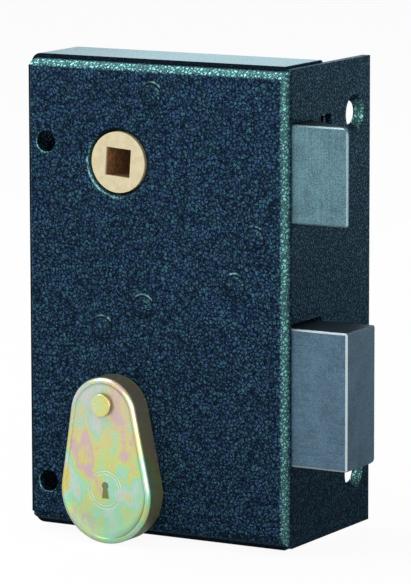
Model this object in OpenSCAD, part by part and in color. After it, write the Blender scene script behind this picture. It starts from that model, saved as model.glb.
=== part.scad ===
// Rim lock for the inside face of a door, with a sprung latch bolt turned by a handle spindle,
// a dead bolt driven from a key cylinder by gears, and a swinging cover over the cylinder.
// X runs towards the forend and the door's edge, Y from the room into the door, Z up.
// The origin is where the handle spindle's axis meets the door's face.

/* [Case] */
// Height of the forend, from its lower to its upper end
forend_h = 138; // [134:0.5:150]
// Reach of the forend, from the front face to its far edge beside the door
forend_d = 50.4; // [46:0.2:60]
// Width of the case, from its left side to the forend's outer face
case_w = 85.5; // [84:0.5:100]
// Depth of the case, from the front face to the door's face
case_d = 26; // [25:0.5:34]
// Thickness of the front shell's steel
shell_t = 2.4; // [2:0.1:2.8]
// Outside radius of the front shell's bends
bend_r = 3; // [2.9:0.1:5]
// Outside radius of the bend along the front shell's left side
left_r = 0.6; // [0.3:0.1:1.4]
// Radius of the case's left corners, seen from the front
corner_r = 1.8; // [1:0.1:5]
// How much shorter the case is than the forend at each end
end_step = 0.5; // [0:0.1:1.5]

/* [Rear cover] */
// Thickness of the rear cover's sheet
cover_t = 1.2; // [0.8:0.1:1.4]
// Outside radius of the rear cover's back edges
cover_r = 1.6; // [1.5:0.1:2.5]
// How far behind the front face the rear cover's upper and lower walls begin
cover_start = 3.3; // [3:0.1:8]
// How far behind the front face the rear cover's left wall begins
cover_left_start = 1.5; // [1:0.1:2.5]
// Width of the rear cover's hook, which enters the slot in the forend
hook_w = 9; // [6:0.5:11]

/* [Handle hub] */
// Distance of the spindle's axis from the forend's outer face
backset = 55.6; // [54:0.2:60]
// Height of the spindle's axis above the forend's lower end
hub_up = 108.7; // [107:0.1:116]
// Radius of the hub's journals
hub_r = 8.9; // [8:0.1:9.6]
// Side of the square hole for the handle spindle
spindle_sq = 8.2; // [7:0.1:9]
// Radius of the hub's flange inside the case
hub_flange_r = 12.5; // [11:0.1:13.5]
// Angle the hub turns to draw the latch bolt back
hub_turn = 45; // [35:1:55]
// Lean of the square hole at rest
hub_lean = 4; // [0:1:10]

/* [Latch bolt] */
// Height of the latch bolt's head
latch_h = 28.2; // [24:0.1:28.3]
// Distance of the latch bolt's middle below the spindle's axis
latch_drop = 0.4; // [0:0.1:0.4]
// Thickness of the latch bolt's head
latch_t = 12.5; // [11:0.1:13]
// Distance the latch bolt stands out of the forend
latch_out = 17.7; // [14:0.1:19]
// Thickness left at the latch bolt's nose
latch_nose = 1.1; // [1:0.1:4]
// Radius of the nose's upper corner
latch_corner = 2.2; // [1:0.1:4]
// Width of the chamfers along the latch bolt's edges
latch_edge = 0.45; // [0.2:0.05:0.8]

/* [Dead bolt] */
// Height of the dead bolt's head
bolt_h = 40; // [36:0.1:41]
// Thickness of the dead bolt's head
bolt_t = 17.4; // [16:0.1:17.6]
// Distance of the dead bolt's middle below the spindle's axis
bolt_drop = 64.7; // [64:0.1:66]
// Length of the dead bolt's head that stays inside the case when thrown
bolt_stay = 9.2; // [6:0.1:9.6]
// Width of the chamfer on the dead bolt's leading edge
bolt_edge = 0.5; // [0.4:0.1:1.5]

/* [Gears] */
// Module of the gears and the rack
gear_m = 0.8; // [0.75:0.01:0.82]
// Teeth on the cylinder's gear
plug_z = 12; // [12:1:12]
// Teeth on the large wheel
wheel_z = 24; // [24:1:24]
// Teeth on the small pinion that drives the rack
pinion_z = 14; // [14:1:14]
// Face width of the gears
gear_w = 2.6; // [2:0.1:2.8]
// Thickness of the tail plates of both bolts
tail_t = 3; // [2.5:0.1:3.2]

/* [Key cylinder] */
// Radius of the cylinder's body
cyl_r = 11.2; // [10.8:0.1:11.5]
// Radius of the plug that the key turns
plug_r = 6; // [5.5:0.1:6.2]
// Height of the plug's axis above the axis of the body
plug_rise = 3.9; // [3.5:0.1:4]
// Distance of the plug's axis below the spindle's axis
key_drop = 89.7; // [89:0.1:90]
// Number of pin stacks
pin_n = 4; // [2:1:4]
// Spacing of the pin stacks
pin_pitch = 3.9; // [3.2:0.1:4]
// Radius of the pins
pin_r = 1.3; // [1:0.05:1.4]
// Width of the keyway
keyway_w = 2.2; // [1.6:0.1:2.6]

/* [Swinging cover] */
// Distance of the swinging cover's pivot below the spindle's axis
swing_drop = 70; // [69:0.1:71]
// Distance of the pivot to the left of the spindle's axis
swing_left = 1; // [0:0.1:3]
// Distance between the centres of the cover's two round ends
swing_len = 23; // [21:0.1:27]
// Radius of the cover's upper end
swing_r_top = 11; // [8.5:0.1:11.5]
// Radius of the cover's lower end
swing_r_low = 15.1; // [13:0.1:15.5]
// Distance of the pivot above the centre of the upper end
swing_pin_up = 3; // [0:0.1:4]
// Height of the cover's raised face above its rim
swing_h = 8; // [6:0.1:10]
// Thickness of the cover's sheet
swing_t = 1.1; // [0.8:0.1:1.5]
// Outside radius of the cover's drawn edge
swing_edge = 1.8; // [1.6:0.1:2.6]
// Angle the cover hangs from plumb
swing_tilt = 1.7; // [0:0.1:8]
// Radius of the pivot rivet's head
swing_head_r = 3.35; // [3.2:0.05:4]

/* [Fixing holes] */
// Radius of the two fixing holes in the face
face_hole_r = 3.05; // [2.6:0.05:3.3]
// Distance of the face holes from the case's left side
face_hole_in = 5.4; // [5.3:0.1:7]
// Height of the upper face hole above the spindle's axis
face_hole_up = 4.7; // [3:0.1:8]
// Distance between the two face holes
face_hole_span = 100.8; // [98:0.1:102]
// Radius of the two fixing holes in the forend
forend_hole_r = 3.45; // [2.6:0.05:3.6]
// Outside radius of the countersinks in the forend
forend_csk_r = 5.5; // [5:0.1:6]
// Distance of the forend holes from the ends of the forend
forend_hole_end = 16; // [12:0.5:20]
// Distance of the forend holes behind the door's face
forend_hole_y = 14.9; // [10:0.1:16]

/* [Posts] */
// Upper latch post, across and up from the spindle's axis
post_latch_top = [11, 20]; // [-30:0.1:60]
// Lower latch post
post_latch_low = [44.9, -19.4]; // [-30:0.1:60]
// Screw post between the two bolts
post_middle = [38.6, -33.5]; // [-40:0.1:60]
// Guide post above the dead bolt's tail
post_tail_right = [8, -41.8]; // [-50:0.1:60]
// Guide post above the end of the dead bolt's tail
post_tail_left = [-5.9, -49]; // [-60:0.1:60]
// Screw post beside the case's left side
post_left = [-21.3, -53.7]; // [-60:0.1:60]
// Radius of the posts
post_r = 4; // [3.5:0.1:4.2]
// Radius of the riveted ends that show on the face
rivet_r = 3.2; // [2.8:0.1:3.6]
// Height of the riveted ends above the face
rivet_h = 0.45; // [0.2:0.05:0.6]

/* [Hidden] */
$fn = 48;
seat = 0.05;            // between pieces that stay together
run = 0.1;              // round running fits
slide = 0.3;            // sliding faces
eps = 1;                // how far a cutter runs past the material
hair = 0.01;            // what keeps a straight side off an exact tangent

// Planes of the case
forend_in = backset - shell_t;
case_l = backset - case_w;
z_top = forend_h - hub_up;
z_low = -hub_up;
tray_top = z_top - end_step;
tray_low = z_low + end_step;
y_face = -case_d;
y_in = y_face + shell_t;
y_plate = -cover_t;
y_flange = y_plate - seat;
forend_y = forend_d - case_d;
skin = cover_t + seat;
back_ease = 0.7;
bolt_headroom = 1.2;

// Latch bolt and hub
latch_throw = latch_out - 0.1;
arm_reach = latch_throw / (2 * sin(hub_turn / 2));
arm_r = 3;
latch_y0 = y_in + 2 * slide;
latch_y1 = latch_y0 + latch_t;
latch_x1 = backset + latch_out;
latch_x0 = forend_in - 12.2;
latch_tail_top = post_latch_top[1] - post_r - slide / 2;
latch_tail_low = post_latch_low[1] + post_r + slide / 2;
hub_arm_y0 = y_in + 3.6;
hub_arm_y1 = latch_y1 - 3.7;
lug_t = 3;
lug_x = arm_reach * sin(hub_turn / 2) - arm_r - seat * 4;
lug_top = -arm_reach * cos(hub_turn / 2) - 0.9;
lug_low = -arm_reach - arm_r - 0.5;
spring_z = post_latch_top[1];
spring_y = latch_y1 - 3.2;
spring_r = 2.9;
ear_t = 3;
ear_x = forend_in - 10.2;
ear_top = spring_z + spring_r + 0.9;

// Dead bolt, rack and gears
bolt_y0 = y_in + 2 * slide;
bolt_y1 = bolt_y0 + bolt_t;
r_plug = gear_m * plug_z / 2;
r_wheel = gear_m * wheel_z / 2;
r_pinion = gear_m * pinion_z / 2;
bolt_throw = 2 * PI * r_pinion * plug_z / wheel_z;
bolt_out = bolt_throw + 0.1;
bolt_x1 = backset + bolt_out;
bolt_x0 = forend_in - bolt_stay;
bolt_top = -bolt_drop + bolt_h / 2;
bolt_low = -bolt_drop - bolt_h / 2;
gear_rise = 2.4;
gear_gap = r_plug + r_wheel;
gear_x = sqrt(gear_gap * gear_gap - gear_rise * gear_rise);
gear_z = -key_drop + gear_rise;
gear_angle = atan2(gear_rise, gear_x);
tooth_up = 0.8 * gear_m;
tooth_down = 1.0 * gear_m;
backlash = 0.1;
rack_z = gear_z + r_pinion;
rack_pitch = PI * gear_m;
rack_teeth = ceil(bolt_throw / rack_pitch) + 5;
wheel_y1 = bolt_y1 - slide - seat;
wheel_y0 = wheel_y1 - gear_w;
pinion_y1 = bolt_y1 + tail_t + seat;
stud_r = 2.4;
tail_step_x = post_tail_left[0] + post_r + bolt_throw + 2;
tail_left_x = post_left[0] + post_r + bolt_throw + 1.2;

// Key cylinder
cyl_z = -key_drop - plug_rise;
cyl_y1 = wheel_y0 - slide;
ear_screw_r = 1.25;
ear_head_r = 2.3;
ear_gap = cyl_r + ear_head_r + 0.2;
ear_ang = 35;
cyl_hole = cyl_r + seat;
plug_hole = plug_r + seat;
shaft_r = 3;
pin_y0 = y_face + 3.2;
driver_len = 3;
key_pin_len = [3.6, 2.6, 3.2, 2.2];
plug_end = wheel_y1 + 1.2;
spring_wire = 0.35;

// Swinging cover
swing_gap = slide;
swing_y1 = y_face - swing_gap;
swing_y0 = swing_y1 - swing_h;
swing_pos = [-swing_left, -swing_drop];
swing_pin_r = 2.4;

// Holes, posts and screws
forend_hole_zs = [z_low + forend_hole_end, z_top - forend_hole_end];
face_hole_x = case_l + face_hole_in;
face_hole_zs = [face_hole_up - face_hole_span, face_hole_up];
hole_mouth = 0.5;
hub_mouth = 1.8;
posts = [post_latch_top, post_latch_low, post_middle, post_tail_right, post_tail_left, post_left];
screwed = [post_latch_top, post_middle, post_left];
rivet_hole_r = 2.5;
dome_r = (rivet_r * rivet_r + rivet_h * rivet_h) / (2 * rivet_h);
screw_head_r = 3.4;
screw_r = 1.9;
screw_len = 9;
stud_rivet_r = 2;
cyl_ears = [for (s = [-1, 1]) [s * ear_gap * sin(ear_ang), cyl_z + ear_gap * cos(ear_ang)]];
chamber_z = cyl_z - cyl_r;
cap_len = 1.6;

// Rivets of both tail plates
tail_rivet_r = 1.6;
tail_rivet_in = 4.8;
tail_head_r = 2.6;
tail_head_top_r = 1.9;
tail_head_h = 0.8;
latch_mid = -latch_drop;
latch_rivet_at = [for (s = [-1, 1]) [latch_x0 + 5, latch_mid + s * 8]];
bolt_rivet_at = [for (s = [-1, 1]) [bolt_x0 + 4.6, -bolt_drop + s * 12]];

// The rear cover's hook and its slot in the forend
hook_slot_w = 6.5;
hook_slot_h = hook_w + 5;
hook_top = latch_mid + latch_h / 2 + 1;
hook_z = hook_top - hook_slot_h / 2;
hook_y = y_flange - 1.4;
hook_in = 5;

paint = "#1d3338";
steel = "#7f8a8d";
zinc = "#c9c58b";
brass = "#d8cfa4";
dark = "#4a4d50";

// Helpers: a drawing in X and Z run along Y, in Y and Z along X, and in X and Y along Z
module slab_y(y0, y1) {
    translate([0, y1, 0]) rotate([90, 0, 0]) linear_extrude(y1 - y0) children();
}

module slab_x(x0, x1) {
    translate([x0, 0, 0]) rotate([90, 0, 90]) linear_extrude(x1 - x0) children();
}

module slab_z(z0, z1) {
    translate([0, 0, z0]) linear_extrude(z1 - z0) children();
}

// A rod along Y at a place in X and Z
module rod_y(r, y0, y1, x = 0, z = 0, r2 = -1) {
    translate([x, y0, z]) rotate([-90, 0, 0]) cylinder(r1 = r, r2 = r2 < 0 ? r : r2, h = y1 - y0);
}

// A profile of radius and Y turned about an axis along Y
module turn_y(x = 0, z = 0) {
    translate([x, 0, z]) rotate([-90, 0, 0]) rotate_extrude() children();
}

// A rectangle between two corners
module box2(a, b) {
    translate(a) square([b[0] - a[0], b[1] - a[1]]);
}

// A rectangle whose corners are rounded, each by its own radius: low left, low right, top right, top left
module soft_box(a, b, r) {
    c = [[a[0], a[1], 1, 1], [b[0], a[1], -1, 1], [b[0], b[1], -1, -1], [a[0], b[1], 1, -1]];
    difference() {
        box2(a, b);
        for (i = [0:3]) if (r[i] > 0) {
            p = [c[i][0] + c[i][2] * r[i], c[i][1] + c[i][3] * r[i]];
            difference() {
                box2([min(p[0], p[0] - c[i][2] * (r[i] + eps)), min(p[1], p[1] - c[i][3] * (r[i] + eps))],
                     [max(p[0], p[0] - c[i][2] * (r[i] + eps)), max(p[1], p[1] - c[i][3] * (r[i] + eps))]);
                translate(p) circle(r[i]);
            }
        }
    }
}

// A rectangle with straight chamfers at its corners, in the same order
module cut_box(a, b, c) {
    polygon([[a[0] + c[0], a[1]], [b[0] - c[1], a[1]], [b[0], a[1] + c[1]], [b[0], b[1] - c[2]],
             [b[0] - c[2], b[1]], [a[0] + c[3], b[1]], [a[0], b[1] - c[3]], [a[0], a[1] + c[0]]]);
}

// The outer form of the case, or its hollow when shrunk by a wall. Its long back edges are eased by r_back.
module tray(wall, y1, r_back = 0) {
    r = max(bend_r - wall, 0.1);
    k = max(corner_r - wall, 0.1);
    a = [case_l + wall, tray_low + wall];
    b = [backset - wall, tray_top - wall];
    f = y_face + wall;
    intersection() {
        slab_y(f, y1) soft_box(a, b, [k, 0, 0, k]);
        slab_x(a[0], b[0]) soft_box([f, a[1]], [y1, b[1]], [r, r_back, r_back, r]);
        slab_z(a[1], b[1]) soft_box([a[0], f], [b[0], y1], [max(left_r - wall, 0.1), r, 0, 0]);
    }
}

module front_shell() {
    color(paint) difference() {
        union() {
            tray(0, y_flange, back_ease);
            slab_z(z_low, z_top) box2([forend_in, y_face + bend_r], [backset, forend_y]);
        }
        tray(shell_t, forend_y);
        // Openings for the two bolts
        slab_x(forend_in - eps, backset + eps)
            soft_box([latch_y0 - slide, latch_mid - latch_h / 2 - slide],
                     [latch_y1 + slide, latch_mid + latch_h / 2 + slide], [1, 1, 1, 1]);
        slab_x(forend_in - eps, backset + eps)
            soft_box([bolt_y0 - slide, bolt_low - slide], [bolt_y1 + slide, bolt_top + bolt_headroom],
                     [1, 1, 1, 1]);
        // Slot that the rear cover's hook enters
        slab_x(forend_in - eps, backset + eps)
            soft_box([hook_y - hook_slot_w / 2, hook_top - hook_slot_h], [hook_y + hook_slot_w / 2, hook_top],
                     [1, 1, 1, 1]);
        // Countersunk fixing holes in the forend
        for (z = forend_hole_zs) translate([0, forend_hole_y, z]) rotate([0, 90, 0]) {
            translate([0, 0, forend_in - eps]) cylinder(r = forend_hole_r, h = shell_t + 2 * eps);
            translate([0, 0, backset - (forend_csk_r - forend_hole_r)])
                cylinder(r1 = forend_hole_r, r2 = forend_csk_r + eps, h = forend_csk_r - forend_hole_r + eps);
        }
        // Fixing holes in the face, with softened mouths
        for (z = face_hole_zs) {
            rod_y(face_hole_r, y_face - eps, y_in + eps, face_hole_x, z);
            dished_mouth(face_hole_r, hole_mouth, face_hole_x, z);
        }
        // Hub hole, rolled inwards at its mouth
        rod_y(hub_r + run, y_face - eps, y_in + eps);
        dished_mouth(hub_r + run, hub_mouth, 0, 0);
        // Cylinder hole, its two screw holes, the posts' holes and the pivot's hole
        rod_y(cyl_hole, y_face - eps, y_in + eps, 0, cyl_z);
        for (p = cyl_ears) {
            rod_y(ear_screw_r + run, y_face - eps, y_in + eps, p[0], p[1]);
            rod_y(ear_head_r + seat + eps, y_face - eps, y_face + ear_head_r - ear_screw_r, p[0], p[1],
                  ear_screw_r + seat);
        }
        for (p = posts) rod_y(rivet_hole_r, y_face - eps, y_in + eps, p[0], p[1]);
        rod_y(swing_pin_r + seat, y_face - eps, y_in + eps, swing_pos[0], swing_pos[1]);
    }
}

// Removes the sharp mouth of a hole in the face, leaving an edge rounded by r
module dished_mouth(hole, r, x, z) {
    turn_y(x, z) difference() {
        box2([0, y_face - eps], [hole + r, y_face + r]);
        translate([hole + r, y_face + r]) circle(r);
    }
}

module rear_cover() {
    x0 = case_l - skin;
    x1 = forend_in - seat;
    a = [x0, tray_low - skin];
    b = [x1 + 3, tray_top + skin];
    w = cover_t;
    ys = y_face + cover_start;
    color(paint) {
        difference() {
            intersection() {
                slab_y(ys, 0) soft_box(a, [x1, b[1]], [corner_r + skin, 0, 0, corner_r + skin]);
                slab_x(x0, x1) soft_box([ys, a[1]], [0, b[1]], [0, cover_r, cover_r, 0]);
                slab_z(a[1], b[1]) soft_box([x0, ys], [x1, 0], [0, 0, 0, cover_r]);
            }
            intersection() {
                slab_y(ys - eps, y_plate)
                    soft_box([a[0] + w, a[1] + w], [b[0], b[1] - w], [corner_r + seat, 0, 0, corner_r + seat]);
                slab_x(x0 + w, b[0])
                    soft_box([ys - eps, a[1] + w], [y_plate, b[1] - w], [0, cover_r - w + 0.1, cover_r - w + 0.1, 0]);
            }
            rod_y(hub_r + run, y_plate - eps, eps);
            for (z = face_hole_zs) rod_y(face_hole_r, y_plate - eps, eps, face_hole_x, z);
            for (p = screwed) rod_y(screw_neck_r(y_plate) + seat, y_plate, 0, p[0], p[1], screw_head_r + seat);
            rod_y(stud_rivet_r + seat, y_plate - eps, eps, gear_x, gear_z);
            rod_y(shaft_r + 2.4, y_plate - eps, eps, 0, -key_drop);
        }
        // The left wall reaches nearer to the face
        slab_y(y_face + cover_left_start, ys + eps)
            box2([x0, tray_low + corner_r + slide], [x0 + w, tray_top - corner_r - slide]);
        // Hook that enters the slot in the forend
        slab_z(hook_z - hook_w / 2, hook_z + hook_w / 2) {
            box2([forend_in - hook_in, hook_y - w / 2], [backset - 0.6, hook_y + w / 2]);
            box2([forend_in - hook_in - w, hook_y - w / 2], [forend_in - hook_in, y_plate + seat]);
        }
    }
}

function screw_neck_r(y) = screw_head_r + y;

// Posts riveted through the face, some of them tapped for the rear cover's screws
module riveted_posts() {
    color(steel) for (p = posts) difference() {
        union() {
            rod_y(post_r, y_in, y_flange, p[0], p[1]);
            rod_y(rivet_hole_r - seat, y_face, y_in + seat, p[0], p[1]);
            if (p != post_left) turn_y(p[0], p[1]) intersection() {
                box2([0, y_face - rivet_h], [rivet_r, y_face]);
                translate([0, y_face - rivet_h + dome_r]) circle(dome_r);
            }
        }
        for (q = screwed) if (q == p) {
            rod_y(screw_r, y_flange - screw_len, eps, p[0], p[1]);
            rod_y(screw_r, y_flange - (screw_neck_r(y_flange) - screw_r), y_flange, p[0], p[1],
                  screw_neck_r(y_flange));
        }
    }
}

module cover_screws() {
    color(steel) for (p = screwed) difference() {
        union() {
            rod_y(screw_r - seat, y_flange - screw_len + 0.5, y_flange, p[0], p[1]);
            rod_y(screw_r - seat, -(screw_head_r - screw_r), 0, p[0], p[1], screw_head_r - seat);
        }
        translate([p[0], 0, p[1]]) for (a = [0, 90]) rotate([0, a, 0])
            slab_y(-1.1, eps) box2([-2, -0.35], [2, 0.35]);
    }
}

// Hub with a square hole and one arm, which leans right at rest and draws the latch's lug left
module handle_hub() {
    color(brass) difference() {
        union() {
            rod_y(hub_r, y_face, y_in + 1);
            rod_y(hub_flange_r, y_in + seat, hub_arm_y1);
            rod_y(hub_r, hub_arm_y1 - eps, -seat);
            slab_y(hub_arm_y0, hub_arm_y1) rotate(hub_turn / 2) arm_outline();
        }
        rotate([0, hub_lean, 0]) slab_y(y_face - eps, eps)
            box2([-spindle_sq / 2, -spindle_sq / 2], [spindle_sq / 2, spindle_sq / 2]);
    }
}

// Arm hanging down from the hub, with sides tangent to its round tip
module arm_outline() {
    root = 4.6;
    s = (root - arm_r) / arm_reach;
    c = sqrt(1 - s * s);
    polygon([[root * c, root * s], [arm_r * c, -arm_reach + arm_r * s],
             [-arm_r * c, -arm_reach + arm_r * s], [-root * c, root * s]]);
    translate([0, -arm_reach]) circle(arm_r);
}

module latch_bolt() {
    e = latch_edge;
    nose_y = latch_y0 + latch_nose;
    low = latch_mid - latch_h / 2;
    top = latch_mid + latch_h / 2;
    color(steel) difference() {
        intersection() {
            slab_z(low, top)
                polygon([[latch_x0, latch_y0], [latch_x1 - e, latch_y0], [latch_x1, latch_y0 + e],
                         [latch_x1, nose_y - e / 2], [latch_x1 - e / 2, nose_y],
                         [backset + 1, latch_y1], [latch_x0, latch_y1]]);
            slab_x(latch_x0, latch_x1)
                cut_box([latch_y0, low], [latch_y1, top], [e, e, e, e]);
            slab_y(latch_y0, latch_y1)
                soft_box([latch_x0, low], [latch_x1, top], [0, 0.9, latch_corner, 0]);
        }
        for (p = latch_rivet_at) rod_y(tail_rivet_r, latch_y1 - 5, latch_y1 + eps, p[0], p[1]);
    }
}

// Forked plate behind the latch bolt, with a lug for the hub's arm and an ear for the spring
module latch_tail() {
    y0 = latch_y1;
    y1 = latch_y1 + tail_t;
    fork_x = hub_r + run + slide + latch_throw;
    fork = hub_r + run + slide;
    arm_left = -hub_r + 4;
    color(steel) difference() {
        union() {
            slab_y(y0, y1) {
                box2([fork_x, latch_tail_low], [forend_in - slide, latch_tail_top]);
                box2([arm_left, fork], [fork_x + eps, latch_tail_top]);
                box2([lug_x - lug_t, lug_low], [fork_x + 4, -fork]);
                box2([ear_x, latch_tail_top - eps], [ear_x + ear_t, ear_top]);
            }
            slab_y(hub_arm_y0, y0 + eps) box2([lug_x - lug_t, lug_low], [lug_x, lug_top]);
            slab_y(spring_y - spring_r - 0.9, y0 + eps) box2([ear_x, latch_tail_top + seat], [ear_x + ear_t, ear_top]);
        }
        for (p = latch_rivet_at) rod_y(tail_rivet_r, y0 - eps, y1 + eps, p[0], p[1]);
        translate([ear_x - eps, spring_y, spring_z]) rotate([0, 90, 0]) cylinder(r = 1.3, h = ear_t + 2 * eps);
    }
}

module latch_rivets() {
    color(steel) for (p = latch_rivet_at) tail_rivet(p, latch_y1);
}

// Rivet that holds a tail plate to the back of a bolt's head
module tail_rivet(p, y) {
    rod_y(tail_rivet_r - seat, y - tail_rivet_in, y + tail_t + 2 * seat, p[0], p[1]);
    rod_y(tail_head_r, y + tail_t, y + tail_t + tail_head_h, p[0], p[1], tail_head_top_r);
}

// A pressed-in pin that keeps the spring straight
module spring_pin() {
    translate([ear_x - 9, spring_y, spring_z]) rotate([0, 90, 0]) color(steel) {
        cylinder(r1 = 1.2, r2 = 1.6, h = 0.6);
        translate([0, 0, 0.6]) cylinder(r = 1.6, h = 8.4);
        translate([0, 0, 9]) cylinder(r = 1.3 - seat, h = ear_t);
    }
}

// A wire of the given radius wound round the Z axis, from z = 0 to z = len, with closed ends
module coil(rad, wire, len, turns, sides, steps) {
    n = turns * steps;
    function height(t) = let (e = 0.9, b = t < e ? t / e : t > turns - e ? (turns - t) / e : 1,
                              m = (len - 2 * wire) / (turns - e))
        t < e ? m * t * t / (2 * e) : t > turns - e ? m * (turns - e) - m * (turns - t) * (turns - t) / (2 * e)
              : m * (t - e / 2);
    pts = [for (i = [0:n]) let (t = i / steps, a = 360 * t)
           for (j = [0:sides - 1]) let (b = 360 * j / sides, q = rad + wire * cos(b))
           [q * cos(a), q * sin(a), wire + height(t) + wire * sin(b)]];
    faces = concat([[for (j = [sides - 1:-1:0]) j]],
                   [for (i = [0:n - 1], j = [0:sides - 1]) let (k = (j + 1) % sides)
                    [i * sides + j, i * sides + k, (i + 1) * sides + k, (i + 1) * sides + j]],
                   [[for (j = [0:sides - 1]) n * sides + j]]);
    polyhedron(pts, faces);
}

module latch_spring() {
    x0 = post_latch_top[0] + post_r + seat;
    color(steel) translate([x0, spring_y, spring_z]) rotate([0, 90, 0])
        coil(spring_r - 0.45, 0.45, ear_x - seat - x0, 9, 6, 16);
}

module dead_bolt() {
    e = 0.5;
    color(steel) difference() {
        intersection() {
            slab_z(bolt_low, bolt_top)
                cut_box([bolt_x0, bolt_y0], [bolt_x1, bolt_y1], [0, bolt_edge, e, 0]);
            slab_x(bolt_x0, bolt_x1)
                cut_box([bolt_y0, bolt_low], [bolt_y1, bolt_top], [e, 1.6, 0.3, e]);
            slab_y(bolt_y0, bolt_y1)
                cut_box([bolt_x0, bolt_low], [bolt_x1, bolt_top], [0, e, e, 0]);
        }
        for (p = bolt_rivet_at) rod_y(tail_rivet_r, bolt_y1 - 5, bolt_y1 + eps, p[0], p[1]);
    }
}

// Plate behind the dead bolt, with the rack along its lower edge
module bolt_tail() {
    top_right = post_tail_right[1] - post_r - slide / 2;
    top_left = post_tail_left[1] - post_r - slide / 2;
    root = rack_z + tooth_down;
    x_rack = gear_x + rack_pitch / 2 - 2 * rack_pitch;
    color(steel) difference() {
        slab_y(bolt_y1, bolt_y1 + tail_t) {
            polygon([[tail_left_x, root], [forend_in - slide, root], [forend_in - slide, top_right],
                     [tail_step_x, top_right], [tail_step_x - 3, top_left], [tail_left_x, top_left]]);
            for (i = [0:rack_teeth - 1]) translate([x_rack + i * rack_pitch, rack_z]) rack_tooth();
        }
        for (p = bolt_rivet_at) rod_y(tail_rivet_r, bolt_y1 - eps, bolt_y1 + tail_t + eps, p[0], p[1]);
        rod_y(5, bolt_y1 - eps, bolt_y1 + tail_t + eps, tail_step_x + 8, -bolt_drop);
    }
}

module rack_tooth() {
    h = rack_pitch / 4 - backlash / 2;
    up = h + tan(20) * (tooth_down + 0.2);
    tip = h - tan(20) * tooth_up;
    polygon([[-up, tooth_down + 0.2], [-tip, -tooth_up], [tip, -tooth_up], [up, tooth_down + 0.2]]);
}

module bolt_rivets() {
    color(steel) for (p = bolt_rivet_at) tail_rivet(p, bolt_y1);
}

// Half the angle that a gear tooth spans at radius r, for a gear of z teeth
function roll(c) = tan(c) - c * PI / 180;
function tooth_half(z, r) =
    let (pitch = gear_m * z / 2, base = pitch * cos(20), c = r > base ? acos(base / r) : 0)
    ((PI * gear_m / 2 - backlash) / (2 * pitch) + roll(20) - roll(c)) * 180 / PI;

// A spur gear with one tooth centred on the X axis
module gear(z) {
    pitch = gear_m * z / 2;
    radii = [pitch - tooth_down, pitch * cos(20) + 0.02, pitch, pitch + tooth_up / 2, pitch + tooth_up];
    polygon([for (i = [0:z - 1], s = [-1, 1], k = [0:4])
             let (r = radii[s < 0 ? k : 4 - k], a = 360 * i / z + s * tooth_half(z, r))
             [r * cos(a), r * sin(a)]]);
}

// Large wheel and small pinion cut from one piece
module reduction_gear() {
    color(brass) difference() {
        translate([gear_x, 0, gear_z]) {
            slab_y(wheel_y0, wheel_y1) rotate(gear_angle + 180 + 180 / wheel_z) gear(wheel_z);
            slab_y(wheel_y1 - seat, pinion_y1) rotate(90) gear(pinion_z);
        }
        rod_y(stud_r + seat, wheel_y0 - eps, pinion_y1 + eps, gear_x, gear_z);
    }
}

// Stud riveted in the rear cover, on which the reduction gear turns
module gear_stud() {
    color(steel) difference() {
        union() {
            rod_y(stud_rivet_r, y_plate - seat - eps, 0, gear_x, gear_z);
            rod_y(stud_r + 1.6, pinion_y1 + seat, y_flange, gear_x, gear_z);
            rod_y(stud_r, wheel_y0 - 1.6, pinion_y1 + seat + eps / 2, gear_x, gear_z);
        }
        turn_y(gear_x, gear_z) box2([stud_r - 0.5, wheel_y0 - 0.8], [stud_r + eps, wheel_y0 - 0.8 + 0.7]);
    }
}

// Open snap ring, lying flat across Y
module snap_ring(r_in, r_out, y0, y1, x, z) {
    difference() {
        rod_y(r_out, y0, y1, x, z);
        rod_y(r_in, y0 - eps, y1 + eps, x, z);
        translate([x, 0, z]) slab_y(y0 - eps, y1 + eps) box2([-r_in * 0.7, -r_out - eps], [r_in * 0.7, 0]);
    }
}

module gear_clip() {
    color(dark) snap_ring(stud_r - 0.45, stud_r + 1.6, wheel_y0 - 0.75, wheel_y0 - 0.15, gear_x, gear_z);
}

// Cylinder body, flush with the face, with a flange behind it and chambers below the plug
module cylinder_body() {
    color(brass) difference() {
        union() {
            rod_y(cyl_r, y_face, cyl_y1, 0, cyl_z);
            slab_y(y_in + seat, y_in + 2.1) {
                intersection() {
                    translate([0, cyl_z]) circle(cyl_r + 1.2);
                    box2([-2 * cyl_r, tray_low + shell_t + 0.9], [2 * cyl_r, 0]);
                }
                for (p = cyl_ears) translate(p) circle(ear_head_r + 0.9);
            }
        }
        rod_y(plug_hole, y_face - eps, cyl_y1 + eps, 0, -key_drop);
        for (p = cyl_ears) rod_y(ear_screw_r + seat / 2, y_in - eps, y_in + 2.1 + eps, p[0], p[1]);
        for (i = [0:pin_n - 1]) pin_place(i) translate([0, 0, -key_drop - 2 * cyl_r])
            cylinder(r = pin_r + seat, h = 2 * cyl_r);
    }
}

// Moves its children to the Y of one pin stack
module pin_place(i) {
    translate([0, pin_y0 + i * pin_pitch, 0]) children();
}

module cylinder_screws() {
    color(steel) for (p = cyl_ears) difference() {
        union() {
            rod_y(ear_screw_r, y_face + 0.9, y_in + 2.6, p[0], p[1]);
            rod_y(ear_head_r, y_face, y_face + ear_head_r - ear_screw_r, p[0], p[1], ear_screw_r);
        }
        translate([p[0], 0, p[1]]) slab_y(y_face - eps, y_face + 0.7) box2([-3, -0.3], [3, 0.3]);
    }
}

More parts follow.
